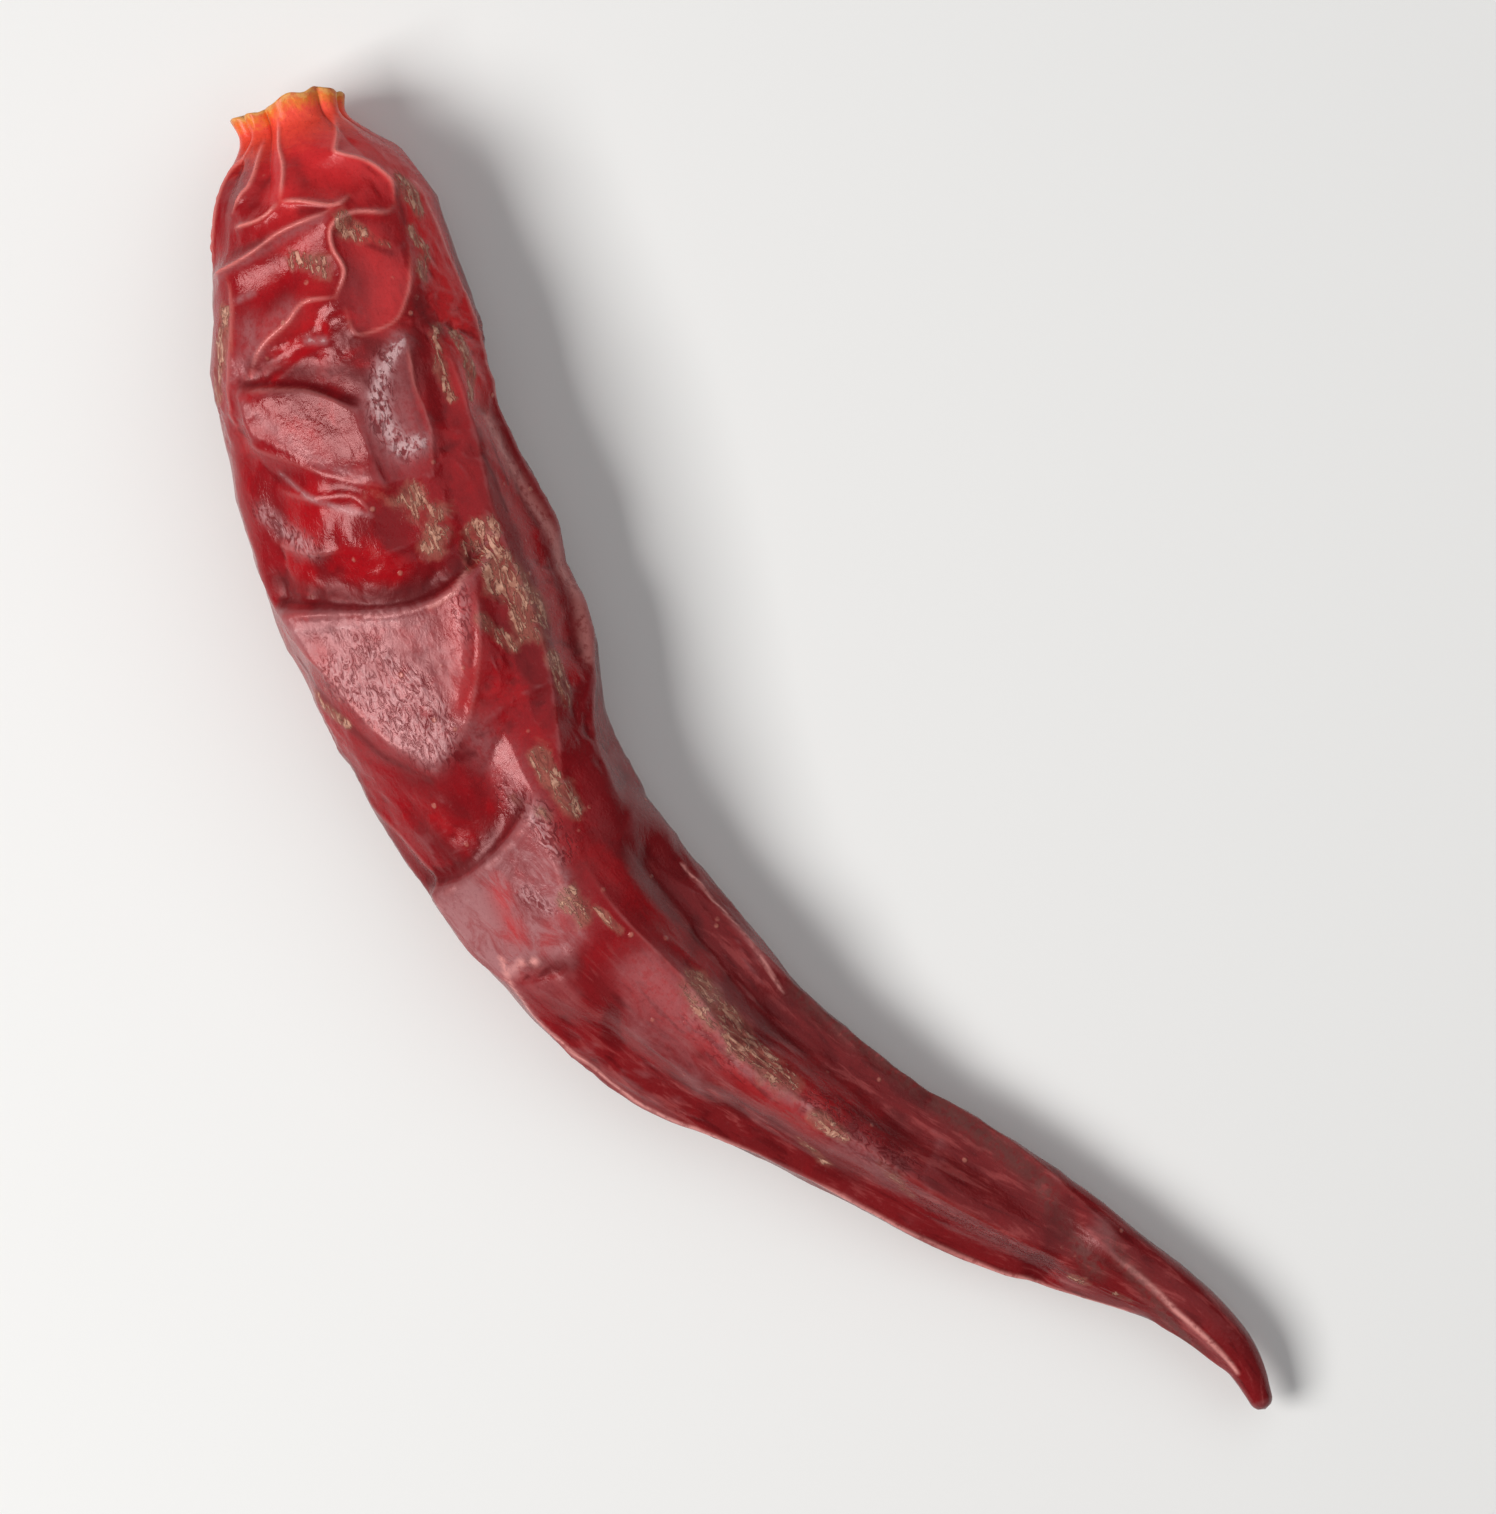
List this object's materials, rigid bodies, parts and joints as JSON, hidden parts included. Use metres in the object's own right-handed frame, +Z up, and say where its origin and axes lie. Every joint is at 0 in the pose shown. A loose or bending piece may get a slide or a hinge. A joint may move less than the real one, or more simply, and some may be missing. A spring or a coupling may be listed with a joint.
{
  "type": "dried chili pepper",
  "caption": "Dried red chili pepper without its stalk: a crumpled, bowed, glossy pod with a torn pleated neck and a thin hooked tip, lying on its side.",
  "frame": {"origin": "on the surface it lies on, under the middle of its bounding box", "axes": "+X runs from the torn stalk end to the hooked tip, +Z is up and the pod bows towards -Y"},
  "size_m": [0.0878, 0.0228, 0.0118],
  "materials": {
    "skin": "glossy wrinkled dried fruit skin"
  },
  "bodies": {
    "root": {"pod": "skin"}
  },
  "joints": []
}
